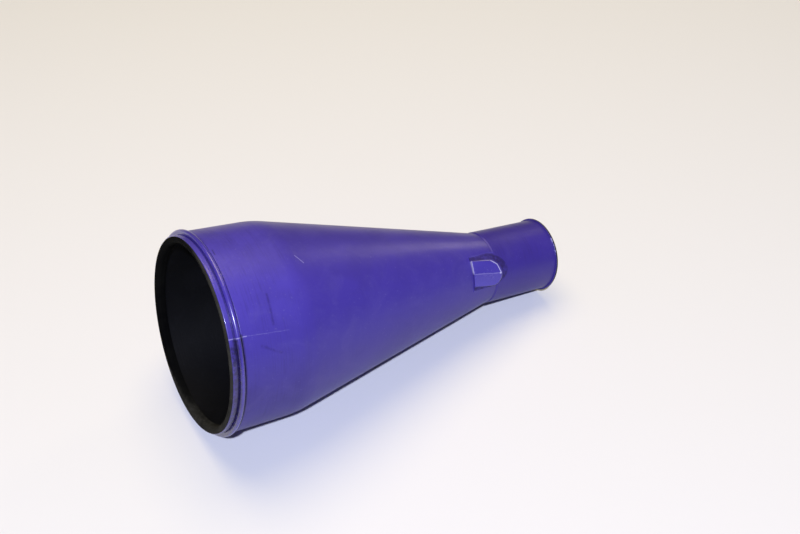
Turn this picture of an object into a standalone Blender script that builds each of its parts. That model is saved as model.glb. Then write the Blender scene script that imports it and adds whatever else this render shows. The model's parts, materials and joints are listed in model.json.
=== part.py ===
"""A long canning funnel lying on its side.

The funnel is a turned shell in three lengths, a mouth collar, a long cone and a
narrow neck, each lapped over a tongue of the length before it. A black lining backs
every length, a dark ring closes the mouth edge, a half-round bead sits in a groove
behind it, a rolled lip closes the neck, and a D-shaped stop lug stands on the seam
between cone and neck.

Each piece is turned about its own local Z axis, measured from the mouth plane, and
the empty "funnel_axis" lays the whole funnel down so that it rests on the back edge
of the collar and on the lip. Units are metres.
"""

import math

import bmesh
import bpy

# Faceting of every turned piece. A flat, not a corner, meets the ground.
SEGMENTS = 48
HALF_STEP = math.pi / SEGMENTS

# Overall lengths along the axis, measured from the mouth plane.
COLLAR_LENGTH = 0.054
CONE_LENGTH = 0.170
NECK_LENGTH = 0.055

# Outside radii of the painted body.
COLLAR_RADIUS = 0.0665
COLLAR_TAPER = 0.0011
NECK_RADIUS = 0.0266
NECK_TAPER = 0.0004

# Walls and fits.
SKIN_WALL = 0.0016
TONGUE_WALL = 0.0012
TONGUE_LENGTH = 0.008
TONGUE_ROOT = 0.004
LINING_WALL = 0.0012
GAP = 0.0003

# Mouth edge: a plain band, a groove and the bead that sits in it.
BAND_STEP = 0.0014
BAND_LENGTH = 0.0042
BAND_CHAMFER = 0.0006
GROOVE_DEPTH = 0.0008
GROOVE_WALL = 0.0012
BEAD_GAP = 0.0006
BEAD_WIDTH = 0.0038
BEAD_PROUD = 0.0017

# Dark ring that closes the mouth edge.
RIM_FLANGE = 0.0012
RIM_BEVEL = 0.0007
RIM_WIDTH = 0.0071
RIM_DEPTH = 0.0060
RIM_ROUND = 0.0022

# Rolled lip at the outlet.
LIP_PROUD = 0.0013
LIP_THICKNESS = 0.0020
LIP_ROUND = 0.0006
LIP_SPIGOT = 0.0060

# Stop lug on the seam between cone and neck. The angle is from straight up.
LUG_ANGLE = math.radians(57.0)
LUG_FACE_WIDTH = 0.0190
LUG_FACE_LENGTH = 0.0250
LUG_START = 0.0242
LUG_STEP = 0.0008
LUG_HEIGHT = 0.0042
LUG_CROWN = 0.0015
LUG_SIDE_DRAFT = math.radians(25.0)
LUG_NOSE_DRAFT = math.radians(50.0)
LUG_ROOT = 0.0070
LUG_NOSE_STEPS = 12

# Places along the axis that follow from the lengths.
CONE_START = COLLAR_LENGTH
NECK_START = CONE_START + CONE_LENGTH
NECK_END = NECK_START + NECK_LENGTH
LIP_FRONT = NECK_END - LIP_THICKNESS

# Depths below the outside surface at which each layer lies.
TONGUE_OUT = SKIN_WALL + GAP
TONGUE_IN = TONGUE_OUT + TONGUE_WALL
RECESS = TONGUE_IN + GAP
BORE = RECESS + LINING_WALL

# Radii at the mouth that follow from the collar.
BAND_RADIUS = COLLAR_RADIUS - BAND_STEP
GROOVE_RADIUS = BAND_RADIUS - GROOVE_DEPTH
MOUTH_BORE = GROOVE_RADIUS - GROOVE_WALL
BEAD_START = BAND_LENGTH + BEAD_GAP
BEAD_END = BEAD_START + BEAD_WIDTH
GROOVE_END = BEAD_END + GAP


def body_radius(s):
    """Outside radius of the painted body at the distance s from the mouth."""
    collar_end = COLLAR_RADIUS - COLLAR_TAPER
    if s <= CONE_START:
        return COLLAR_RADIUS - COLLAR_TAPER * s / COLLAR_LENGTH
    if s <= NECK_START:
        share = (s - CONE_START) / CONE_LENGTH
        return collar_end + (NECK_RADIUS - collar_end) * share
    return NECK_RADIUS - NECK_TAPER * (s - NECK_START) / NECK_LENGTH


def below(s, depth):
    """Point of a turned profile, at a depth below the painted surface."""
    return (s, body_radius(s) - depth)


def arc(centre_s, centre_r, radius, start, end, steps):
    """Points of a round corner, as (s, r), from one angle to another in degrees."""
    points = []
    for i in range(steps + 1):
        angle = math.radians(start + (end - start) * i / steps)
        points.append((centre_s + radius * math.sin(angle),
                       centre_r + radius * math.cos(angle)))
    return points


def make_material(name, colour, roughness, metallic=0.0):
    """Plain Principled material."""
    material = bpy.data.materials.new(name)
    material.use_nodes = True
    shader = material.node_tree.nodes["Principled BSDF"]
    shader.inputs["Base Color"].default_value = (*colour, 1.0)
    shader.inputs["Roughness"].default_value = roughness
    shader.inputs["Metallic"].default_value = metallic
    material.diffuse_color = (*colour, 1.0)
    return material


def turned(name, outline, material, collection, parent):
    """Turned piece from a closed outline of (s, r) points.

    The outline runs down the outer side, from the outlet end to the mouth end, and
    back along the inner side. Radii are those across flats.
    """
    across_corners = 1.0 / math.cos(HALF_STEP)
    mesh = bpy.data.meshes.new(name)
    bm = bmesh.new()
    verts = [bm.verts.new((r * across_corners, 0.0, s)) for s, r in outline]
    for a, b in zip(verts, verts[1:] + verts[:1]):
        bm.edges.new((a, b))
    bm.to_mesh(mesh)
    bm.free()
    mesh.materials.append(material)
    piece = bpy.data.objects.new(name, mesh)
    collection.objects.link(piece)
    piece.parent = parent
    piece.rotation_euler = (0.0, 0.0, HALF_STEP)
    screw = piece.modifiers.new("turn", "SCREW")
    screw.axis = "Z"
    screw.angle = 2.0 * math.pi
    screw.steps = SEGMENTS
    screw.render_steps = SEGMENTS
    screw.use_merge_vertices = True
    screw.merge_threshold = 0.00001
    screw.use_smooth_shade = True
    return piece


for old in list(bpy.data.objects):
    bpy.data.objects.remove(old, do_unlink=True)

parts = bpy.data.collections.new("canning_funnel")
cutters = bpy.data.collections.new("cutters")
bpy.context.scene.collection.children.link(parts)
bpy.context.scene.collection.children.link(cutters)

purple = make_material("purple_paint", (0.075, 0.045, 0.33), 0.32)
bead_purple = make_material("bead_paint", (0.09, 0.06, 0.36), 0.28)
lug_purple = make_material("lug_paint", (0.085, 0.055, 0.40), 0.28)
black = make_material("black_lining", (0.012, 0.012, 0.013), 0.55)
worn_black = make_material("worn_rim", (0.032, 0.028, 0.022), 0.5)

# The axis of the lying funnel droops towards the neck, because the collar is the
# wider of the two rings that touch the ground.
contact_s = CONE_START - GAP / 2.0
contact_r = body_radius(contact_s)
lip_s = NECK_END - LIP_ROUND
lip_r = body_radius(NECK_END) + LIP_PROUD
droop = math.atan2(contact_r - lip_r, lip_s - contact_s)
lift = contact_r * math.cos(droop) + contact_s * math.sin(droop)
rim_outer = BAND_RADIUS - RIM_BEVEL
lowest_x = -rim_outer * math.sin(droop)
highest_x = lip_s * math.cos(droop) + lip_r * math.sin(droop)

axis = bpy.data.objects.new("funnel_axis", None)
parts.objects.link(axis)
axis.location = (-(lowest_x + highest_x) / 2.0, 0.0, lift)
axis.rotation_euler = (0.0, math.pi / 2.0 + droop, 0.0)

# Collar: the short straight length at the mouth. A tongue at its back end reaches
# into the cone, and its front end is turned down to a band with a groove.
collar_back = CONE_START - GAP / 2.0
tongue_end = CONE_START + TONGUE_LENGTH
root_start = CONE_START - TONGUE_ROOT
turned("mouth_collar", [
    below(tongue_end, TONGUE_OUT),
    (collar_back, body_radius(CONE_START) - TONGUE_OUT),
    (collar_back, body_radius(collar_back)),
    (GROOVE_END, body_radius(GROOVE_END)),
    (GROOVE_END, GROOVE_RADIUS),
    (BAND_LENGTH, GROOVE_RADIUS),
    (BAND_LENGTH, BAND_RADIUS),
    (RIM_FLANGE + GAP + BAND_CHAMFER, BAND_RADIUS),
    (RIM_FLANGE + GAP, BAND_RADIUS - BAND_CHAMFER),
    (RIM_FLANGE + GAP, MOUTH_BORE),
    (GROOVE_END + SKIN_WALL, MOUTH_BORE),
    below(root_start, SKIN_WALL),
    below(root_start, TONGUE_IN),
    below(CONE_START, TONGUE_IN),
    below(tongue_end, TONGUE_IN),
], purple, parts, axis)

# Bead: a half-round ring that sits in the collar's groove.
bead_inner = GROOVE_RADIUS + GAP
bead_outer = COLLAR_RADIUS + BEAD_PROUD
bead_centre = (BEAD_START + BEAD_END) / 2.0
bead_round = BEAD_WIDTH / 2.0
turned("mouth_bead", [(BEAD_END, bead_inner)]
       + arc(bead_centre, bead_outer - bead_round, bead_round, 90.0, -90.0, 6)
       + [(BEAD_START, bead_inner)], bead_purple, parts, axis)

# Rim ring: its flange covers the collar's front edge, and its body lines the mouth.
rim_inner = rim_outer - RIM_WIDTH
turned("rim_ring", [
    (RIM_DEPTH, MOUTH_BORE - GAP),
    (RIM_FLANGE, MOUTH_BORE - GAP),
    (RIM_FLANGE, rim_outer + RIM_BEVEL / 2.0),
    (RIM_BEVEL, rim_outer + RIM_BEVEL / 2.0),
    (0.0, rim_outer),
] + arc(RIM_ROUND, rim_inner + RIM_ROUND, RIM_ROUND, 270.0, 180.0, 4) + [
    (RIM_DEPTH - RIM_ROUND, rim_inner),
    (RIM_DEPTH, rim_inner + RIM_ROUND),
], worn_black, parts, axis)

# Cone: laps over the collar's tongue, and has a tongue of its own for the neck.
cone_front = CONE_START + GAP / 2.0
cone_back = NECK_START - GAP / 2.0
neck_tongue_end = NECK_START + TONGUE_LENGTH
neck_root = NECK_START - TONGUE_ROOT
turned("cone_wall", [
    below(neck_tongue_end, TONGUE_OUT),
    (cone_back, body_radius(NECK_START) - TONGUE_OUT),
    below(cone_back, 0.0),
    below(cone_front, 0.0),
    below(cone_front, SKIN_WALL),
    below(neck_root, SKIN_WALL),
    below(neck_root, TONGUE_IN),
    below(NECK_START, TONGUE_IN),
    below(neck_tongue_end, TONGUE_IN),
], purple, parts, axis)

# Neck: a plain tube from the cone to the lip.
neck_front = NECK_START + GAP / 2.0
neck_back = LIP_FRONT - GAP / 2.0
turned("neck_tube", [
    below(neck_back, 0.0),
    below(neck_front, 0.0),
    below(neck_front, SKIN_WALL),
    below(neck_back, SKIN_WALL),
], purple, parts, axis)

# Lip: a rolled ring at the outlet, with a spigot that reaches back inside the neck.
lip_front = LIP_FRONT + GAP / 2.0
spigot_start = LIP_FRONT - LIP_SPIGOT
lip_bore = body_radius(NECK_END) - BORE
turned("neck_lip", [
    (NECK_END, lip_r - LIP_ROUND),
    (NECK_END - LIP_ROUND, lip_r),
    (lip_front + LIP_ROUND, lip_r),
    (lip_front, lip_r - LIP_ROUND),
    (lip_front, body_radius(NECK_END) - TONGUE_OUT),
    below(spigot_start, TONGUE_OUT),
    below(spigot_start, TONGUE_IN),
    (lip_front, body_radius(NECK_END) - TONGUE_IN),
    (lip_front, lip_bore),
    (NECK_END, lip_bore),
], purple, parts, axis)

# Black lining, one length behind each length of the body. It is thinned where a
# tongue or the spigot lies between it and the painted wall.
turned("collar_lining", [
    below(collar_back, RECESS),
    below(root_start - GAP, RECESS),
    below(root_start - GAP, TONGUE_OUT),
    (GROOVE_END + SKIN_WALL, MOUTH_BORE - GAP),
    (RIM_DEPTH + GAP, MOUTH_BORE - GAP),
    below(RIM_DEPTH + GAP, BORE),
    below(collar_back, BORE),
], black, parts, axis)

turned("cone_lining", [
    below(cone_back, RECESS),
    below(neck_root - GAP, RECESS),
    below(neck_root - GAP, TONGUE_OUT),
    below(tongue_end + GAP, TONGUE_OUT),
    below(tongue_end + GAP, RECESS),
    below(cone_front, RECESS),
    below(cone_front, BORE),
    below(cone_back, BORE),
], black, parts, axis)

turned("neck_lining", [
    below(neck_back, RECESS),
    below(spigot_start - GAP, RECESS),
    below(spigot_start - GAP, TONGUE_OUT),
    below(neck_tongue_end + GAP, TONGUE_OUT),
    below(neck_tongue_end + GAP, RECESS),
    below(neck_front, RECESS),
    below(neck_front, BORE),
    below(neck_back, BORE),
], black, parts, axis)

# Stop lug: a D-shaped boss with drafted sides, its flat end on the cone and its
# round nose on the neck. Its face is a low roof whose ridge runs from the cone's
# surface to the nose. A cutter in the shape of the body gives it its seat.
lug_start = NECK_START - LUG_START
lug_tip = lug_start + LUG_FACE_LENGTH
face_radius = LUG_FACE_WIDTH / 2.0
nose_centre = lug_tip - face_radius
ridge_start = body_radius(lug_start) + LUG_STEP
ridge_end = body_radius(NECK_START) + LUG_HEIGHT
lug_base = body_radius(NECK_START) - LUG_ROOT

# Outline of the face, from one corner of the flat end round the nose to the other.
outline = [(face_radius, lug_start)]
for i in range(LUG_NOSE_STEPS + 1):
    turn = math.pi * i / LUG_NOSE_STEPS
    outline.append((face_radius * math.cos(turn), nose_centre + face_radius * math.sin(turn)))
outline.append((-face_radius, lug_start))
outline.append((0.0, lug_start))

mesh = bpy.data.meshes.new("stop_lug")
bm = bmesh.new()
upper = []
lower = []
for across, along in outline:
    ridge = ridge_start + (ridge_end - ridge_start) * (along - lug_start) / LUG_FACE_LENGTH
    height = ridge - LUG_CROWN * abs(across) / face_radius
    drop = height - lug_base
    foot_across = across * (1.0 + drop * math.tan(LUG_SIDE_DRAFT) / face_radius)
    foot_along = along
    if along > nose_centre:
        reach = 1.0 + drop * math.tan(LUG_NOSE_DRAFT) / face_radius
        foot_along = nose_centre + (along - nose_centre) * reach
    upper.append(bm.verts.new((height, across, along)))
    lower.append(bm.verts.new((lug_base, foot_across, foot_along)))
tip = 1 + LUG_NOSE_STEPS // 2
bm.faces.new(upper[:tip + 1] + upper[-1:])
bm.faces.new(upper[tip:])
bm.faces.new(lower)
for i in range(len(upper)):
    j = (i + 1) % len(upper)
    bm.faces.new((upper[i], upper[j], lower[j], lower[i]))
bmesh.ops.recalc_face_normals(bm, faces=bm.faces)
bm.to_mesh(mesh)
bm.free()
mesh.materials.append(lug_purple)
lug = bpy.data.objects.new("stop_lug", mesh)
parts.objects.link(lug)
lug.parent = axis
lug.rotation_euler = (0.0, 0.0, math.pi + LUG_ANGLE)

seat = turned("lug_seat", [
    (NECK_END, body_radius(NECK_END) + GAP),
    below(NECK_START, -GAP),
    below(CONE_START, -GAP),
    (CONE_START, 0.001),
    (NECK_END, 0.001),
], black, cutters, axis)
seat.hide_render = True
seat.display_type = "WIRE"

seating = lug.modifiers.new("seat", "BOOLEAN")
seating.operation = "DIFFERENCE"
seating.solver = "EXACT"
seating.object = seat
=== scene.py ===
"""Looks of the long canning funnel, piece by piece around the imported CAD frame, in metres."""

import json
import math

import bmesh
import bpy
from mathutils import Matrix, Vector

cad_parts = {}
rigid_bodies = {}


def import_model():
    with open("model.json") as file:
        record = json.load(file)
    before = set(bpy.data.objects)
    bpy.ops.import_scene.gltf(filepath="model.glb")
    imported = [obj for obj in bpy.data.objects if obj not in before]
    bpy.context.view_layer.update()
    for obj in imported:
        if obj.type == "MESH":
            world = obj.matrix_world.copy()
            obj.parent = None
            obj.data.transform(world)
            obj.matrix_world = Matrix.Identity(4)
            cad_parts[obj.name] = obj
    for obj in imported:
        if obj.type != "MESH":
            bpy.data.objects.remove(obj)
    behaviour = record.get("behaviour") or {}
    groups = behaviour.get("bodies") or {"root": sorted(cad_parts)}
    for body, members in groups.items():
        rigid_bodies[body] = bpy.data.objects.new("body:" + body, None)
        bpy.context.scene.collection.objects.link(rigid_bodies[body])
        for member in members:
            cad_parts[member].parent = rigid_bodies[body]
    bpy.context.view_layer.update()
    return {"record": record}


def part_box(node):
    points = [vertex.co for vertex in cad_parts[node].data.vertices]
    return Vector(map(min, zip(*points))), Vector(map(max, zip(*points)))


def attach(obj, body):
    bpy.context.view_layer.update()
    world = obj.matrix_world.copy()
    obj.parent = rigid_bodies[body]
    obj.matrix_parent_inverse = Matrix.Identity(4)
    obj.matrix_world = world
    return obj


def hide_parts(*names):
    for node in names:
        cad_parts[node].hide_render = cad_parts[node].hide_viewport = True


for left_over in list(bpy.data.objects):
    bpy.data.objects.remove(left_over, do_unlink=True)

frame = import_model()


# ---------------------------------------------------------------------------
# Rim ring
# The dark ring that closes the mouth edge and lines its first few millimetres. It
# is moulded black and was never painted; its face is grey on its lower, near part, partly from wear
# and dust and partly painted light where light falls on it.

# The funnel lies with its axis drooping towards the neck. Every turned piece is
# made about its own Z axis, measured from the mouth plane, and then laid down.
BEAD_MIDDLE = 0.0067
outlet = next(m for m in frame["record"]["mounts"] if m["name"] == "outlet_face")
neck_way = Vector(outlet["axis"]).normalized()
bead_low, bead_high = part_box("mouth_bead")
mouth_middle = (bead_low + bead_high) / 2.0 - neck_way * BEAD_MIDDLE
across = Vector((0.0, 1.0, 0.0))
lay_down = Matrix((across.cross(neck_way), across, neck_way)).transposed().to_4x4()
lay_down.translation = mouth_middle

TURN_STEPS = 256
MERGE_DISTANCE = 0.000002
CORNER_TOLERANCE = 0.00001
SMOOTH_ANGLE = math.radians(32.0)


def turn_outline(outline):
    """Mesh turned about Z from a closed outline of (radius, along) corners."""
    bm = bmesh.new()
    corners = [bm.verts.new((radius, 0.0, along)) for radius, along in outline]
    sides = [bm.edges.new(pair) for pair in zip(corners, corners[1:] + corners[:1])]
    bmesh.ops.spin(bm, geom=corners + sides, cent=(0.0, 0.0, 0.0), axis=(0.0, 0.0, 1.0),
                   dvec=(0.0, 0.0, 0.0), angle=2.0 * math.pi, steps=TURN_STEPS,
                   use_merge=True, use_duplicate=False)
    bmesh.ops.remove_doubles(bm, verts=bm.verts, dist=MERGE_DISTANCE)
    return bm


def round_corner(bm, radius, along, offset, segments):
    """Rounds the corner of a turned mesh that runs round it at (radius, along)."""
    ring = [e for e in bm.edges
            if all(abs(v.co.z - along) < CORNER_TOLERANCE
                   and abs(v.co.xy.length - radius) < CORNER_TOLERANCE for v in e.verts)]
    bmesh.ops.bevel(bm, geom=ring, offset=offset, offset_type="OFFSET", affect="EDGES",
                    segments=segments, profile=0.5, material=-1, clamp_overlap=False)


def finish_piece(bm, name, node, material, place):
    """Lays a mesh in place and hangs it on the frame as the piece that stands for a node."""
    bmesh.ops.recalc_face_normals(bm, faces=bm.faces)
    bmesh.ops.transform(bm, matrix=place, verts=bm.verts)
    for face in bm.faces:
        face.smooth = True
    for edge in bm.edges:
        edge.smooth = edge.calc_face_angle(0.0) < SMOOTH_ANGLE
    mesh = bpy.data.meshes.new(name)
    bm.to_mesh(mesh)
    bm.free()
    mesh.materials.append(material)
    piece = bpy.data.objects.new(name, mesh)
    bpy.context.scene.collection.objects.link(piece)
    even = piece.modifiers.new("even_shading", "WEIGHTED_NORMAL")
    even.keep_sharp = True
    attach(piece, "root")
    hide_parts(node)
    return piece


def add_node(tree, kind, inputs=None, **settings):
    """Shader node with its settings made and its inputs set or linked."""
    made = tree.nodes.new("ShaderNode" + kind)
    for key, value in settings.items():
        setattr(made, key, value)
    for key, value in (inputs or {}).items():
        if isinstance(value, bpy.types.NodeSocket):
            tree.links.new(value, made.inputs[key])
        else:
            made.inputs[key].default_value = value
    return made


def calc(tree, operation, *values, clamp=False):
    """Result of a Math node."""
    return add_node(tree, "Math", dict(enumerate(values)), operation=operation,
                    use_clamp=clamp).outputs[0]


def spread(tree, value, low, high, to_low=0.0, to_high=1.0):
    """A value's stretch from low to high, spread smoothly from to_low to to_high."""
    return add_node(tree, "MapRange", {"Value": value, "From Min": low, "From Max": high,
                                       "To Min": to_low, "To Max": to_high},
                    interpolation_type="SMOOTHSTEP").outputs["Result"]


def blend_colour(tree, share, first, second):
    """Colour mixed from first to second by share."""
    return add_node(tree, "Mix", {0: share, 6: first, 7: second}, data_type="RGBA",
                    clamp_factor=True).outputs[2]


def funnel_place(tree, scale=(1.0, 1.0, 1.0)):
    """Object coordinates turned so that Z runs along the funnel from its mouth plane."""
    where = add_node(tree, "TexCoord").outputs["Object"]
    laid = add_node(tree, "Mapping", {"Vector": where, "Location": lay_down.to_translation(),
                                      "Rotation": lay_down.to_euler()}, vector_type="TEXTURE")
    return add_node(tree, "VectorMath", {0: laid.outputs["Vector"], 1: scale},
                    operation="MULTIPLY").outputs["Vector"]


def noise(tree, place, scale, detail=3.0, roughness=0.55, distortion=0.0):
    """Value of a Noise texture."""
    return add_node(tree, "TexNoise", {"Vector": place, "Scale": scale, "Detail": detail,
                                       "Roughness": roughness, "Distortion": distortion}
                    ).outputs["Fac"]


def new_group(name, inputs, outputs):
    """Empty shader node group with its sockets, and its two end nodes."""
    group = bpy.data.node_groups.new(name, "ShaderNodeTree")
    for label, kind, value in inputs:
        socket = group.interface.new_socket(label, in_out="INPUT", socket_type=kind)
        socket.default_value = value
    for label, kind in outputs:
        group.interface.new_socket(label, in_out="OUTPUT", socket_type=kind)
    return group, group.nodes.new("NodeGroupInput"), group.nodes.new("NodeGroupOutput")


def new_material(name, settings):
    """Material with its Principled shader's own sockets set."""
    material = bpy.data.materials.new(name)
    material.use_nodes = True
    shader = material.node_tree.nodes["Principled BSDF"]
    for key, value in settings.items():
        shader.inputs[key].default_value = value
    return material, material.node_tree, shader


# Stains, dust and turning lines, which every surface of the funnel has in its own
# measure, and painted shade that darkens it towards its underside.
handled_and_shaded, into, out_of = new_group(
    "handled_surface_and_shade",
    [("Base", "NodeSocketColor", (0.1, 0.1, 0.1, 1.0)),
     ("Stain", "NodeSocketColor", (0.05, 0.05, 0.05, 1.0)),
     ("Dust", "NodeSocketColor", (0.5, 0.5, 0.5, 1.0)),
     ("Stain Share", "NodeSocketFloat", 0.3),
     ("Streak Share", "NodeSocketFloat", 0.0),
     ("Dust Share", "NodeSocketFloat", 0.1),
     ("Underside Shade Share", "NodeSocketFloat", 0.0),
     ("Shine", "NodeSocketFloat", 0.35)],
    [("Color", "NodeSocketColor"), ("Roughness", "NodeSocketFloat"),
     ("Height", "NodeSocketFloat")])
place = funnel_place(handled_and_shaded)
ringed = funnel_place(handled_and_shaded, (1.0, 1.0, 30.0))
clouds = spread(handled_and_shaded, noise(handled_and_shaded, place, 26.0, 5.0, 0.6, 0.4), 0.38, 0.66)
rings = spread(handled_and_shaded, noise(handled_and_shaded, ringed, 34.0, 3.0, 0.7), 0.46, 0.68)
patches = spread(handled_and_shaded, noise(handled_and_shaded, place, 75.0, 3.0, 0.6), 0.35, 0.62)
rings = calc(handled_and_shaded, "MULTIPLY", rings, patches)
specks = spread(handled_and_shaded, noise(handled_and_shaded, place, 620.0, 2.0, 0.5), 0.66, 0.76)
film = spread(handled_and_shaded, noise(handled_and_shaded, place, 48.0, 6.0, 0.7, 0.8), 0.45, 0.75)
stain_and_shade = calc(handled_and_shaded, "ADD", calc(handled_and_shaded, "MULTIPLY", clouds, into.outputs["Stain Share"]),
             calc(handled_and_shaded, "MULTIPLY", rings, into.outputs["Streak Share"]), clamp=True)
dust = calc(handled_and_shaded, "MULTIPLY", calc(handled_and_shaded, "ADD", calc(handled_and_shaded, "MULTIPLY", film, 0.45),
                                      specks), into.outputs["Dust Share"], clamp=True)
# Painted shade: the colour is darkened towards the underside, as far as the material's share sets,
# and more where it is stained.
square_on = add_node(handled_and_shaded, "VectorMath", {0: place, 1: (1.0, 1.0, 0.0)},
                     operation="MULTIPLY").outputs[0]
way_out = add_node(handled_and_shaded, "VectorMath", {0: square_on}, operation="NORMALIZE").outputs[0]
facing_down = add_node(handled_and_shaded, "SeparateXYZ", {0: way_out}).outputs[0]
under = calc(handled_and_shaded, "MULTIPLY", spread(handled_and_shaded, facing_down, -0.95, 0.0),
             into.outputs["Underside Shade Share"])
under = calc(handled_and_shaded, "ADD", under, calc(handled_and_shaded, "MULTIPLY", stain_and_shade, 0.5))
# From here the stain mask also carries this painted shade.
stain_and_shade = calc(handled_and_shaded, "MAXIMUM", stain_and_shade, under, clamp=True)
stained_and_shaded = blend_colour(handled_and_shaded, stain_and_shade, into.outputs["Base"], into.outputs["Stain"])
handled_and_shaded.links.new(blend_colour(handled_and_shaded, dust, stained_and_shaded, into.outputs["Dust"]),
                  out_of.inputs["Color"])
shine = calc(handled_and_shaded, "ADD", into.outputs["Shine"], calc(handled_and_shaded, "MULTIPLY", stain_and_shade, 0.16))
handled_and_shaded.links.new(calc(handled_and_shaded, "ADD", shine, calc(handled_and_shaded, "MULTIPLY", dust, 0.5), clamp=True),
                  out_of.inputs["Roughness"])
peel = noise(handled_and_shaded, place, 480.0, 2.0, 0.4)
waves = noise(handled_and_shaded, place, 90.0, 2.0, 0.5)
height = calc(handled_and_shaded, "ADD", calc(handled_and_shaded, "MULTIPLY", peel, 0.35),
              calc(handled_and_shaded, "MULTIPLY", waves, 0.65))
handled_and_shaded.links.new(calc(handled_and_shaded, "SUBTRACT", height, calc(handled_and_shaded, "MULTIPLY", rings, 0.15)),
                  out_of.inputs["Height"])


def use_handled(tree, shader, values, bump_height):
    """Puts the handled surface, with its painted underside shade, on a material and returns its
    node.
    """
    node = add_node(tree, "Group", node_tree=handled_and_shaded)
    for key, value in values.items():
        node.inputs[key].default_value = value
    tree.links.new(node.outputs["Color"], shader.inputs["Base Color"])
    tree.links.new(node.outputs["Roughness"], shader.inputs["Roughness"])
    bump = add_node(tree, "Bump", {"Height": node.outputs["Height"], "Strength": 1.0,
                                   "Distance": bump_height})
    tree.links.new(bump.outputs["Normal"], shader.inputs["Normal"])
    return node


RIM_OUTER = 0.0644
RIM_INNER = 0.0597
RIM_DEPTH = 0.0060
RIM_FLANGE = 0.0012
RIM_OUTER_ROUND = 0.0011
RIM_INNER_ROUND = 0.0034
MOUTH_BORE = 0.0628
WEAR_AND_LIGHT_MIDDLE = (-0.0020, 0.0036, 0.0)
WEAR_AND_LIGHT_START = 0.0610
WEAR_AND_LIGHT_FULL = 0.0628
WEAR_AND_LIGHT_RAGGED = 0.0022
BARE_BLACK = (0.0012, 0.0012, 0.0014, 1.0)
WORN_AND_LIT_GREY = (0.026, 0.025, 0.021, 1.0)
RIM_STAIN = (0.006, 0.006, 0.005, 1.0)
RIM_DUST = (0.10, 0.095, 0.08, 1.0)

# The grey is a crescent outside a circle that lies a little off the middle of the
# mouth, on the lower, near part of the face: partly wear and dust, partly painted light where light
# falls on the rim.
worn_rim, tree, shader = new_material("worn_rim", {"Specular IOR Level": 0.02})
rubbed_and_lit = use_handled(tree, shader, {
    "Stain": RIM_STAIN, "Dust": RIM_DUST, "Stain Share": 0.70, "Streak Share": 0.30,
    "Shine": 0.75}, 0.00014)
place = funnel_place(tree)
off_middle = add_node(tree, "VectorMath", {0: place, 1: WEAR_AND_LIGHT_MIDDLE},
                      operation="SUBTRACT").outputs["Vector"]
flat = add_node(tree, "VectorMath", {0: off_middle, 1: (1.0, 1.0, 0.0)}, operation="MULTIPLY")
out_from = add_node(tree, "VectorMath", {0: flat.outputs["Vector"]},
                    operation="LENGTH").outputs["Value"]
ragged = calc(tree, "MULTIPLY", calc(tree, "SUBTRACT", noise(tree, place, 210.0, 4.0, 0.7), 0.5),
              WEAR_AND_LIGHT_RAGGED)
worn_and_lit = spread(tree, calc(tree, "ADD", out_from, ragged), WEAR_AND_LIGHT_START, WEAR_AND_LIGHT_FULL)
tree.links.new(blend_colour(tree, worn_and_lit, BARE_BLACK, WORN_AND_LIT_GREY), rubbed_and_lit.inputs["Base"])
tree.links.new(calc(tree, "MULTIPLY", worn_and_lit, 0.45), rubbed_and_lit.inputs["Dust Share"])

bm = turn_outline([(MOUTH_BORE, RIM_DEPTH), (MOUTH_BORE, RIM_FLANGE), (RIM_OUTER, RIM_FLANGE),
                   (RIM_OUTER, 0.0), (RIM_INNER, 0.0), (RIM_INNER, RIM_DEPTH)])
round_corner(bm, RIM_OUTER, 0.0, RIM_OUTER_ROUND, 6)
round_corner(bm, RIM_INNER, 0.0, RIM_INNER_ROUND, 12)
finish_piece(bm, "rim_ring_worn_and_lit", "rim_ring", worn_rim, lay_down)


# ---------------------------------------------------------------------------
# Mouth collar
# The short, nearly straight length at the mouth, in purple semi-gloss paint over
# black. It is turned down to a plain band at the front edge, with a groove that
# holds the bead, and the band has dark rings rubbed into its paint.

COLLAR_LENGTH = 0.054
CONE_LENGTH = 0.170
NECK_LENGTH = 0.055
COLLAR_RADIUS = 0.0665
CONE_RADIUS = 0.0654
NECK_RADIUS = 0.0266
NECK_BACK_RADIUS = 0.0262
PAINTED_WALL = 0.0016
BAND_RADIUS = 0.0651
BAND_END = 0.0044
GROOVE_RADIUS = 0.0643
GROOVE_END = 0.0087
GROOVE_WALL_RADIUS = COLLAR_RADIUS - 0.0001
BORE_START = 0.012
NECK_START = COLLAR_LENGTH + CONE_LENGTH
CONE_END_RADIUS = 0.0260
CONE_END = NECK_START - 0.0010
CORNER_FRONT = NECK_START - 0.0004
CORNER_BACK = NECK_START + 0.0004
NECK_BACK = NECK_START + NECK_LENGTH - 0.0020
CUT_TOLERANCE = 0.0000001


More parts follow.
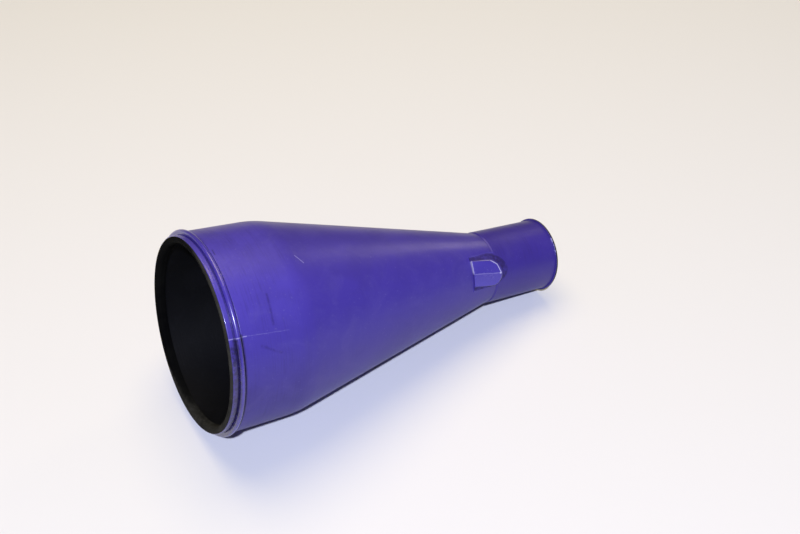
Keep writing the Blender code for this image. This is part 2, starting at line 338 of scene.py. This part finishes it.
def cut_length(front, back):
    """One length of the painted wall, cut square from the turned body and closed."""
    bm = turn_outline([
        (BAND_RADIUS, RIM_FLANGE), (BAND_RADIUS, BAND_END), (GROOVE_RADIUS, BAND_END),
        (GROOVE_RADIUS, GROOVE_END), (GROOVE_WALL_RADIUS, GROOVE_END),
        (CONE_RADIUS, COLLAR_LENGTH), (CONE_END_RADIUS, CORNER_FRONT),
        (NECK_RADIUS, CORNER_BACK), (NECK_BACK_RADIUS, NECK_BACK),
        (NECK_BACK_RADIUS - PAINTED_WALL, NECK_BACK), (NECK_RADIUS - PAINTED_WALL, NECK_START),
        (CONE_RADIUS - PAINTED_WALL, COLLAR_LENGTH), (MOUTH_BORE, BORE_START),
        (MOUTH_BORE, RIM_FLANGE)])
    for radius, along, offset, segments in (
            (CONE_RADIUS, COLLAR_LENGTH, 0.0060, 12), (CONE_END_RADIUS, CORNER_FRONT, 0.0003, 3),
            (NECK_RADIUS, CORNER_BACK, 0.0004, 4), (BAND_RADIUS, RIM_FLANGE, 0.0005, 3),
            (BAND_RADIUS, BAND_END, 0.0003, 2), (GROOVE_WALL_RADIUS, GROOVE_END, 0.0006, 4)):
        round_corner(bm, radius, along, offset, segments)
    for along, side in ((front, -1.0), (back, 1.0)):
        if along is None:
            continue
        bmesh.ops.bisect_plane(bm, geom=bm.verts[:] + bm.edges[:] + bm.faces[:],
                               dist=CUT_TOLERANCE, plane_co=(0.0, 0.0, along),
                               plane_no=(0.0, 0.0, side), clear_outer=True)
        bmesh.ops.bridge_loops(bm, edges=[e for e in bm.edges if e.is_boundary])
    return bm


# A mark is a soft line on the surface between two places, each given by its distance
# from the mouth and its angle in degrees from straight up towards the lug's side.
mark, into, out_of = new_group(
    "surface_mark",
    [("From Along", "NodeSocketFloat", 0.0), ("From Angle", "NodeSocketFloat", 0.0),
     ("To Along", "NodeSocketFloat", 0.01), ("To Angle", "NodeSocketFloat", 0.0),
     ("Width", "NodeSocketFloat", 0.0005), ("Broken", "NodeSocketFloat", 0.3)],
    [("Mask", "NodeSocketFloat")])
place = funnel_place(mark)
parts = add_node(mark, "SeparateXYZ", {0: place})
reach = add_node(mark, "VectorMath", {0: place, 1: (1.0, 1.0, 0.0)}, operation="MULTIPLY")
reach = add_node(mark, "VectorMath", {0: reach.outputs[0]}, operation="LENGTH").outputs["Value"]
turned_by = calc(mark, "ARCTAN2", calc(mark, "MULTIPLY", parts.outputs[1], -1.0),
                 calc(mark, "MULTIPLY", parts.outputs[0], -1.0))
wander = calc(mark, "MULTIPLY", calc(mark, "SUBTRACT", noise(mark, place, 160.0, 2.0), 0.5), 0.0007)
here = add_node(mark, "CombineXYZ", {
    0: calc(mark, "ADD", calc(mark, "MULTIPLY", turned_by, reach), wander), 1: parts.outputs[2]})
ends = []
for end in ("From", "To"):
    angle = calc(mark, "RADIANS", into.outputs[end + " Angle"])
    ends.append(add_node(mark, "CombineXYZ", {
        0: calc(mark, "MULTIPLY", angle, reach), 1: into.outputs[end + " Along"]}).outputs[0])
run = add_node(mark, "VectorMath", {0: ends[1], 1: ends[0]}, operation="SUBTRACT").outputs[0]
off = add_node(mark, "VectorMath", {0: here.outputs[0], 1: ends[0]},
               operation="SUBTRACT").outputs[0]
dot = add_node(mark, "VectorMath", {0: off, 1: run}, operation="DOT_PRODUCT").outputs["Value"]
square = add_node(mark, "VectorMath", {0: run, 1: run}, operation="DOT_PRODUCT").outputs["Value"]
share = calc(mark, "DIVIDE", dot, square, clamp=True)
nearest = add_node(mark, "VectorMath", {0: run, "Scale": share}, operation="SCALE").outputs[0]
away = add_node(mark, "VectorMath", {0: off, 1: nearest}, operation="DISTANCE").outputs["Value"]
drawn = calc(mark, "SUBTRACT", 1.0, calc(mark, "DIVIDE", away, into.outputs["Width"]), clamp=True)
gaps = calc(mark, "MULTIPLY", spread(mark, noise(mark, place, 420.0, 2.0), 0.4, 0.6),
            into.outputs["Broken"])
mark.links.new(calc(mark, "MULTIPLY", drawn, calc(mark, "SUBTRACT", 1.0, gaps), clamp=True),
               out_of.inputs["Mask"])


def draw_mark(tree, shader, colour, strength, start, end, width, broken=0.3):
    """Lays a mark of one colour over what the shader's Base Color already takes."""
    mask = add_node(tree, "Group", node_tree=mark)
    for key, value in zip(("From Along", "From Angle", "To Along", "To Angle"), start + end):
        mask.inputs[key].default_value = value
    mask.inputs["Width"].default_value = width
    mask.inputs["Broken"].default_value = broken
    under = shader.inputs["Base Color"].links[0].from_socket
    share = calc(tree, "MULTIPLY", mask.outputs["Mask"], strength)
    tree.links.new(blend_colour(tree, share, under, colour), shader.inputs["Base Color"])


PURPLE = (0.050, 0.032, 0.290, 1.0)
DEEP_PURPLE = (0.025, 0.015, 0.135, 1.0)
PALE_DUST = (0.30, 0.27, 0.46, 1.0)
SCRATCH = (0.36, 0.33, 0.62, 1.0)
# Dark colour for painted shade in grooves and on lower halves, with some grime.
SHADE_AND_GRIME = (0.006, 0.005, 0.010, 1.0)
NICK = (0.012, 0.009, 0.050, 1.0)
COLLAR_PURPLE = (0.060, 0.041, 0.325, 1.0)
CONE_PURPLE = (0.048, 0.031, 0.272, 1.0)
PARTING_FRONT = (-0.004, 54.7)
PARTING_MIDDLE = (0.012, 54.9)
PARTING_BACK = (0.040, 57.0)
HAIR = 0.00045
LOWEST = 150.0
ON_BAND = 0.0026
BEFORE_BEAD = BAND_END + 0.0002
BEHIND_BEAD = GROOVE_END + 0.0001
BAND_GLOSS = 0.7

# One coat of paint runs over collar and cone. The collar's paint is paler and more
# streaked than the cone's and carries more painted shade towards its underside, and
# both fade out where the cone starts. Only the front band has a glossy coat.
wall_paint, tree, shader = new_material("wall_paint", {"Specular IOR Level": 0.36,
                                                       "Coat Roughness": 0.12})
painted = use_handled(tree, shader, {
    "Stain": DEEP_PURPLE, "Dust": PALE_DUST, "Stain Share": 0.25, "Dust Share": 0.10,
    "Shine": 0.35}, 0.00010)
along = add_node(tree, "SeparateXYZ", {0: funnel_place(tree)}).outputs[2]
on_cone = spread(tree, along, COLLAR_LENGTH - 0.012, COLLAR_LENGTH + 0.010)
tree.links.new(blend_colour(tree, on_cone, COLLAR_PURPLE, CONE_PURPLE), painted.inputs["Base"])
# Painted shade towards the underside, heavier on the collar than on the cone.
tree.links.new(spread(tree, on_cone, 0.0, 1.0, 0.60, 0.32), painted.inputs["Underside Shade Share"])
tree.links.new(spread(tree, on_cone, 0.0, 1.0, 0.30, 0.05), painted.inputs["Streak Share"])
tree.links.new(spread(tree, along, BAND_END - 0.0004, BAND_END + 0.0006, BAND_GLOSS, 0.0),
               shader.inputs["Coat Weight"])
# The parting line, two smudges, a nick, painted shade with some grime on the band's
# lower half, painted shade in the grooves behind and before the bead, and the cone's scratch. The
# painted shade is heaviest on the lower half.
for colour, strength, start, end, width, broken in (
        (SCRATCH, 0.75, PARTING_FRONT, PARTING_MIDDLE, HAIR, 0.1),
        (SCRATCH, 0.20, PARTING_MIDDLE, PARTING_BACK, 0.00040, 0.6),
        (DEEP_PURPLE, 0.70, (0.0312, 36.0), (0.0305, 52.0), 0.00130, 0.3),
        (DEEP_PURPLE, 0.55, (0.0210, 62.0), (0.0330, 68.0), 0.00140, 0.6),
        (NICK, 0.85, (0.0108, 2.0), (0.0106, 6.0), 0.00070, 0.3),
        (SHADE_AND_GRIME, 0.75, (ON_BAND, 60.0), (ON_BAND, LOWEST), 0.00320, 0.6),
        (SHADE_AND_GRIME, 0.50, (BEHIND_BEAD, -40.0), (BEHIND_BEAD, 50.0), 0.00070, 0.5),
        (SHADE_AND_GRIME, 0.95, (BEHIND_BEAD, 54.0), (BEHIND_BEAD, LOWEST), 0.00130, 0.1),
        (SHADE_AND_GRIME, 0.75, (BEFORE_BEAD, -40.0), (BEFORE_BEAD, 56.0), 0.00090, 0.2),
        (SHADE_AND_GRIME, 0.95, (BEFORE_BEAD, 56.0), (BEFORE_BEAD, LOWEST), 0.00200, 0.2),
        (SCRATCH, 0.55, (0.0593, 16.4), (0.0632, 21.8), HAIR, 0.2)):
    draw_mark(tree, shader, colour, strength, start, end, width, broken)

bm = cut_length(None, COLLAR_LENGTH)
finish_piece(bm, "mouth_collar_painted", "mouth_collar", wall_paint, lay_down)


# ---------------------------------------------------------------------------
# Mouth bead
# A half-round ring that stands proud of the collar, in a groove behind the band.
# It is painted with the collar, and rubbed smooth and bright along its crown.

BEAD_START = 0.0050
BEAD_END = 0.0082
BEAD_OUTER = 0.0681
BEAD_INNER = 0.0644
BEAD_ROUND = 0.00155

bead_paint, tree, shader = new_material("bead_paint", {"Specular IOR Level": 0.55,
                                                       "Coat Weight": 0.35,
                                                       "Coat Roughness": 0.14})
use_handled(tree, shader, {
    "Base": PURPLE, "Stain": DEEP_PURPLE, "Dust": PALE_DUST,
    "Stain Share": 0.30, "Streak Share": 0.30, "Dust Share": 0.14, "Shine": 0.26}, 0.00006)
draw_mark(tree, shader, SCRATCH, 0.85, PARTING_FRONT, PARTING_MIDDLE, HAIR, 0.1)
# Painted shade in the grooves at both edges of the bead, on its lower half.
draw_mark(tree, shader, SHADE_AND_GRIME, 0.85, (BEAD_START, 56.0), (BEAD_START, LOWEST), 0.00150, 0.3)
draw_mark(tree, shader, SHADE_AND_GRIME, 0.95, (BEAD_END, 54.0), (BEAD_END, LOWEST), 0.00160, 0.1)

bm = turn_outline([(BEAD_INNER, BEAD_START), (BEAD_OUTER, BEAD_START),
                   (BEAD_OUTER, BEAD_END), (BEAD_INNER, BEAD_END)])
round_corner(bm, BEAD_OUTER, BEAD_START, BEAD_ROUND, 8)
round_corner(bm, BEAD_OUTER, BEAD_END, BEAD_ROUND, 8)
finish_piece(bm, "mouth_bead_painted", "mouth_bead", bead_paint, lay_down)


# ---------------------------------------------------------------------------
# Cone
# The long tapering wall between collar and neck, in the same purple paint. It runs
# into the collar over a soft radius, and has dust, faint clouds, one scratch and painted shade
# towards its underside.

bm = cut_length(COLLAR_LENGTH, CONE_END)
finish_piece(bm, "cone_wall_painted", "cone_wall", wall_paint, lay_down)


# ---------------------------------------------------------------------------
# Neck tube
# The narrow, nearly straight tube that enters the jar, painted with the cone and
# meeting it in a tight inside corner.

NECK_PURPLE = (0.038, 0.023, 0.218, 1.0)

neck_paint, tree, shader = new_material("neck_paint", {"Specular IOR Level": 0.36})
# Painted shade darkens the neck towards its underside.
use_handled(tree, shader, {
    "Base": NECK_PURPLE, "Stain": DEEP_PURPLE, "Dust": PALE_DUST, "Stain Share": 0.30,
    "Streak Share": 0.30, "Underside Shade Share": 0.35, "Dust Share": 0.06, "Shine": 0.34}, 0.00008)

bm = cut_length(CONE_END, None)
finish_piece(bm, "neck_tube_painted", "neck_tube", neck_paint, lay_down)


# ---------------------------------------------------------------------------
# Neck lip
# The small rolled lip that closes the outlet. It is painted outside, its end is
# black, and pale specks near the end are painted highlights.

LIP_FRONT = NECK_BACK
LIP_END = NECK_START + NECK_LENGTH
LIP_OUTER = 0.0275
LIP_BORE = 0.0216
LIP_FRONT_ROUND = 0.0008
LIP_END_ROUND = 0.0010
LIP_BORE_ROUND = 0.0007
LIP_BLACK = (0.006, 0.006, 0.009, 1.0)
LIP_PURPLE_END = LIP_END - 0.0018
LIP_BLACK_START = LIP_END - 0.0014
LIP_HIGHLIGHT_SPECKS = LIP_END - 0.0017

lip_paint = neck_paint.copy()
lip_paint.name = "lip_paint"
tree = lip_paint.node_tree
shader = tree.nodes["Principled BSDF"]
along = add_node(tree, "SeparateXYZ", {0: funnel_place(tree)}).outputs[2]
black_end = spread(tree, along, LIP_PURPLE_END, LIP_BLACK_START)
tree.links.new(blend_colour(tree, black_end, shader.inputs["Base Color"].links[0].from_socket,
                            LIP_BLACK), shader.inputs["Base Color"])
# Painted highlight: broken pale specks in the scratch colour, just inside the black end.
draw_mark(tree, shader, SCRATCH, 0.80, (LIP_HIGHLIGHT_SPECKS, 30.0), (LIP_HIGHLIGHT_SPECKS, 56.0), 0.00050, 1.0)

bm = turn_outline([(LIP_BORE, LIP_FRONT), (LIP_OUTER, LIP_FRONT),
                   (LIP_OUTER, LIP_END), (LIP_BORE, LIP_END)])
round_corner(bm, LIP_OUTER, LIP_FRONT, LIP_FRONT_ROUND, 5)
round_corner(bm, LIP_OUTER, LIP_END, LIP_END_ROUND, 6)
round_corner(bm, LIP_BORE, LIP_END, LIP_BORE_ROUND, 4)
finish_piece(bm, "neck_lip_painted", "neck_lip", lip_paint, lay_down)


# ---------------------------------------------------------------------------
# Stop lug
# The D-shaped boss on the seam between cone and neck, which stops the funnel on a
# jar's mouth. It is moulded with the wall: its face is a low roof with crisp edges,
# which carry painted highlights, and its sides run out into the wall over a radius darkened by
# painted shade.

LUG_ANGLE = math.radians(58.8)
LUG_HALF_WIDTH = 0.0089
LUG_START = 0.1996
LUG_TIP = 0.2254
LUG_STEP = 0.0009
LUG_HEIGHT = 0.0027
LUG_CROWN = 0.0010
LUG_UPPER_REACH = 0.0052
LUG_LOWER_REACH = 0.0020
LUG_NOSE_REACH = 0.0092
LUG_SKEW = -0.160
LUG_STEP_REACH = 0.0004
LUG_WALL_STEPS = 10
LUG_WALL_BEND = 1.6
LUG_SINK = 0.0002
LUG_ROOT = 0.0040
LUG_EDGE_ROUND = 0.0005
nose_middle = LUG_TIP - LUG_HALF_WIDTH
lug_middle = (LUG_START + LUG_TIP) / 2.0


def wall_height(aside, along):
    """Height of the painted wall above the axis, aside from the lug's own middle."""
    share = min(max((along - COLLAR_LENGTH) / CONE_LENGTH, 0.0), 1.0)
    radius = CONE_RADIUS + (NECK_RADIUS - CONE_RADIUS) * share
    return math.sqrt(radius * radius - aside * aside)


def roof_height(aside, along):
    """Height of the lug's roof above the axis."""
    share = (along - LUG_START) / (LUG_TIP - LUG_START)
    low, high = wall_height(0.0, LUG_START) + LUG_STEP, NECK_RADIUS + LUG_HEIGHT
    return low + (high - low) * share - LUG_CROWN * abs(aside) / LUG_HALF_WIDTH


def askew(aside, along, out=0.0):
    """Place aside once the roof is turned askew to the axis, with out 0 there and 1 at the foot."""
    return aside - LUG_SKEW * (1.0 - out) * (along - lug_middle)


def on_lug(aside, along):
    """Place on the lug, measured from its own middle, as a mark takes it."""
    return along, math.degrees(LUG_ANGLE + askew(aside, along) / roof_height(aside, along))


# Pale colour for painted highlights on the lug's edges.
EDGE_HIGHLIGHT = (0.62, 0.60, 0.85, 1.0)
LUG_PURPLE = (0.056, 0.040, 0.335, 1.0)
# Dark colour for the painted shade round the lug's foot.
LUG_SHADE = (0.016, 0.009, 0.060, 1.0)

bm = bmesh.new()
shade_layer = bm.verts.layers.float.new("corner_painted_shade")
bm.faces.new([bm.verts.new((0.0, aside, along)) for aside, along in (
    (-LUG_HALF_WIDTH, LUG_START), (LUG_HALF_WIDTH, LUG_START),
    (LUG_HALF_WIDTH, LUG_TIP), (-LUG_HALF_WIDTH, LUG_TIP))])
bmesh.ops.bevel(bm, geom=[v for v in bm.verts if v.co.z > nose_middle],
                offset=LUG_HALF_WIDTH * 0.998, affect="VERTICES", segments=16, profile=0.5,
                material=-1, clamp_overlap=False)
bmesh.ops.bisect_plane(bm, geom=bm.verts[:] + bm.edges[:] + bm.faces[:], dist=CUT_TOLERANCE,
                       plane_co=(0.0, 0.0, 0.0), plane_no=(0.0, 1.0, 0.0))
for vert in bm.verts:
    vert.co.x = roof_height(vert.co.y, vert.co.z)
    vert[shade_layer] = 0.0
roof_edge = [e for e in bm.edges if e.is_boundary]
ridge = [e for e in bm.edges if not e.is_boundary]
foot = roof_edge
spread_out = {}
before = 0.0
# Each side goes down in steps. Painted shade fades in over its first quarter and out over its last.
for step in range(1, LUG_WALL_STEPS + 1):
    now = step / LUG_WALL_STEPS
    nose, nose_before = (LUG_HALF_WIDTH + LUG_NOSE_REACH * reach for reach in (now, before))
    new = bmesh.ops.extrude_edge_only(bm, edges=foot)["geom"]
    foot = [g for g in new if isinstance(g, bmesh.types.BMEdge)]
    for vert in (g for g in new if isinstance(g, bmesh.types.BMVert)):
        side_reach = LUG_UPPER_REACH if vert.co.y < 0.0 else LUG_LOWER_REACH
        side = LUG_HALF_WIDTH + side_reach * now
        vert.co.y *= side / (LUG_HALF_WIDTH + side_reach * before)
        if vert.co.z > nose_middle:
            vert.co.z = nose_middle + (vert.co.z - nose_middle) * nose / nose_before
        elif vert.co.z < LUG_START + CORNER_TOLERANCE:
            vert.co.z -= LUG_STEP_REACH * (now - before)
        aside = vert.co.y * LUG_HALF_WIDTH / side
        along = max(vert.co.z, LUG_START)
        if along > nose_middle:
            along = nose_middle + (along - nose_middle) * LUG_HALF_WIDTH / nose
        rise = roof_height(aside, along) - wall_height(askew(aside, along), along) + LUG_SINK
        vert.co.x = (wall_height(askew(vert.co.y, vert.co.z, now), vert.co.z) - LUG_SINK
                     + rise * (1.0 - now) ** LUG_WALL_BEND)
        vert[shade_layer] = min(1.0, 4.0 * now, 4.0 * (1.0 - now))
        spread_out[vert] = now
    before = now
new = bmesh.ops.extrude_edge_only(bm, edges=foot)["geom"]
for vert in (g for g in new if isinstance(g, bmesh.types.BMVert)):
    vert.co.x = wall_height(0.0, vert.co.z) - LUG_ROOT
    spread_out[vert] = 1.0
bmesh.ops.holes_fill(bm, edges=[e for e in bm.edges if e.is_boundary], sides=0)
for vert in bm.verts:
    vert.co.y = askew(vert.co.y, vert.co.z, spread_out.get(vert, 0.0))
bmesh.ops.bevel(bm, geom=[e for e in roof_edge + ridge if e.is_valid],
                offset=LUG_EDGE_ROUND, offset_type="OFFSET", affect="EDGES", segments=4,
                profile=0.5, material=-1, clamp_overlap=False)

lug_paint, tree, shader = new_material("lug_paint", {"Coat Roughness": 0.10})
use_handled(tree, shader, {
    "Base": LUG_PURPLE, "Stain": DEEP_PURPLE, "Dust": PALE_DUST,
    "Stain Share": 0.18, "Streak Share": 0.0, "Dust Share": 0.06, "Shine": 0.24}, 0.00004)
# Painted shade in the radius round the lug's foot, taken from the corner attribute and broken by
# noise.
corner = add_node(tree, "Attribute", attribute_name="corner_painted_shade").outputs["Fac"]
ragged = spread(tree, noise(tree, funnel_place(tree), 230.0, 4.0, 0.7), 0.30, 0.62, 0.35, 0.85)
shaded = calc(tree, "MULTIPLY", corner, ragged)
tree.links.new(blend_colour(tree, shaded, shader.inputs["Base Color"].links[0].from_socket,
                            LUG_SHADE), shader.inputs["Base Color"])
tree.links.new(calc(tree, "ADD", shader.inputs["Roughness"].links[0].from_socket,
                    calc(tree, "MULTIPLY", corner, 0.35)), shader.inputs["Roughness"])
tree.links.new(spread(tree, corner, 0.0, 0.7, 0.35, 0.0), shader.inputs["Coat Weight"])
tree.links.new(spread(tree, corner, 0.0, 0.7, 0.40, 0.15), shader.inputs["Specular IOR Level"])

# Painted highlights as pale lines: the ridge and its end, the step's upper half, and the nose's
# upper edge.
nose_shoulder = on_lug(-LUG_HALF_WIDTH * 0.72, nose_middle + LUG_HALF_WIDTH * 0.70)
ridge_end = on_lug(0.0, LUG_TIP - 0.0003)
for colour, strength, start, end, width, broken in (
        (SCRATCH, 0.50, on_lug(0.0, LUG_START), on_lug(0.0, LUG_TIP), HAIR, 0.3),
        (EDGE_HIGHLIGHT, 0.90, on_lug(0.0, LUG_TIP - 0.0012), ridge_end, 0.00070, 0.0),
        (EDGE_HIGHLIGHT, 0.55, on_lug(-LUG_HALF_WIDTH, LUG_START), on_lug(-0.0008, LUG_START),
         HAIR, 0.1),
        (EDGE_HIGHLIGHT, 0.75, on_lug(-LUG_HALF_WIDTH, nose_middle + 0.0010), nose_shoulder,
         0.00050, 0.0),
        (EDGE_HIGHLIGHT, 0.85, nose_shoulder, on_lug(-0.0005, LUG_TIP - 0.0003), 0.00050, 0.0)):
    draw_mark(tree, shader, colour, strength, start, end, width, broken)

finish_piece(bm, "stop_lug_painted", "stop_lug", lug_paint,
             lay_down @ Matrix.Rotation(math.pi + LUG_ANGLE, 4, "Z"))


# ---------------------------------------------------------------------------
# Black linings
# The unpainted black inside of the funnel, one length behind each length of the
# wall. It is matt, with faint turning lines and some bluish dust, which is partly a painted sheen.

LINING_OUT = 0.0019
BORE_DEPTH = 0.0046
LINING_START = 0.0122
LINING_START_RADIUS = 0.0662
THIN_PART_OUTER = 0.0625
THIN_PART_INNER = 0.0616
LINING_BLACK = (0.0022, 0.0022, 0.0028, 1.0)
LINING_STAIN = (0.003, 0.003, 0.003, 1.0)
# Bluish dust, which is partly a painted sheen.
LINING_DUST_AND_SHEEN = (0.03, 0.03, 0.04, 1.0)

black_lining, tree, shader = new_material("black_lining", {"Specular IOR Level": 0.11})
use_handled(tree, shader, {
    "Base": LINING_BLACK, "Stain": LINING_STAIN, "Dust": LINING_DUST_AND_SHEEN, "Stain Share": 0.4,
    "Streak Share": 0.3, "Dust Share": 0.10, "Shine": 0.55}, 0.00012)


def lining(front, back, front_radius, back_radius):
    """Turned length of lining behind a length of wall with these outside radii."""
    return turn_outline([
        (front_radius - LINING_OUT, front), (back_radius - LINING_OUT, back),
        (back_radius - BORE_DEPTH, back), (front_radius - BORE_DEPTH, front)])


bm = lining(LINING_START, COLLAR_LENGTH, LINING_START_RADIUS, CONE_RADIUS)
front_part = turn_outline([
    (THIN_PART_OUTER, RIM_DEPTH), (THIN_PART_OUTER, LINING_START),
    (THIN_PART_INNER, LINING_START), (THIN_PART_INNER + 0.0001, RIM_DEPTH)])
spare = bpy.data.meshes.new("lining_front")
front_part.to_mesh(spare)
front_part.free()
bm.from_mesh(spare)
bpy.data.meshes.remove(spare)
finish_piece(bm, "collar_lining_black", "collar_lining", black_lining, lay_down)

bm = lining(COLLAR_LENGTH, NECK_START, CONE_RADIUS, NECK_RADIUS)
finish_piece(bm, "cone_lining_black", "cone_lining", black_lining, lay_down)

bm = lining(NECK_START, NECK_BACK, NECK_RADIUS, NECK_BACK_RADIUS)
finish_piece(bm, "neck_lining_black", "neck_lining", black_lining, lay_down)


# ---------------------------------------------------------------------------
# Floor, lights and camera
# A plain pale floor, a large soft light above and behind, a weak one to the side, a
# small hard light behind and over the camera, and a pale surround.

bm = bmesh.new()
bmesh.ops.create_grid(bm, x_segments=2, y_segments=2, size=6.0)
mesh = bpy.data.meshes.new("floor")
bm.to_mesh(mesh)
bm.free()
floor_paper, tree, shader = new_material("floor_paper", {"Base Color": (0.67, 0.67, 0.67, 1.0),
                                                         "Roughness": 0.9,
                                                         "Specular IOR Level": 0.1})
mesh.materials.append(floor_paper)
floor = bpy.data.objects.new("floor", mesh)
bpy.context.scene.collection.objects.link(floor)

world = bpy.data.worlds.new("pale_surround")
bpy.context.scene.world = world
world.use_nodes = True
world.node_tree.nodes["Background"].inputs["Color"].default_value = (1.0, 0.97, 0.94, 1.0)
world.node_tree.nodes["Background"].inputs["Strength"].default_value = 0.08

camera_data = bpy.data.cameras.new("camera")
camera_data.sensor_width = 36.0
camera_data.lens = 49.5
camera_data.clip_start = 0.01
camera_data.clip_end = 50.0
camera = bpy.data.objects.new("camera", camera_data)
camera.location = (-0.27653, -0.50703, 0.55924)
camera.rotation_euler = (math.radians(49.944), 0.0, math.radians(-30.426))
bpy.context.scene.collection.objects.link(camera)
bpy.context.scene.camera = camera


def add_light(name, location, target, size, power, colour):
    """Round area light that faces a point."""
    data = bpy.data.lights.new(name, "AREA")
    data.shape = "DISK"
    data.size = size
    data.energy = power
    data.color = colour
    light = bpy.data.objects.new(name, data)
    light.location = location
    light.rotation_euler = (Vector(target) - Vector(location)).to_track_quat("-Z", "Y").to_euler()
    bpy.context.scene.collection.objects.link(light)


add_light("soft_overhead", (0.1, 0.6, 2.1), (0.0, 0.0, 0.0), 1.8, 33.0, (1.0, 0.82, 0.42))
add_light("soft_side", (1.7, 0.75, 0.75), (0.0, 0.0, 0.0), 0.4, 3.0, (1.0, 0.86, 0.60))
add_light("hard_front", (-0.83, -1.53, 1.98), (0.0, 0.0, 0.05), 0.08, 86.0, (0.76, 0.81, 1.05))

bpy.context.scene.view_settings.view_transform = "Standard"
bpy.context.scene.view_settings.look = "None"
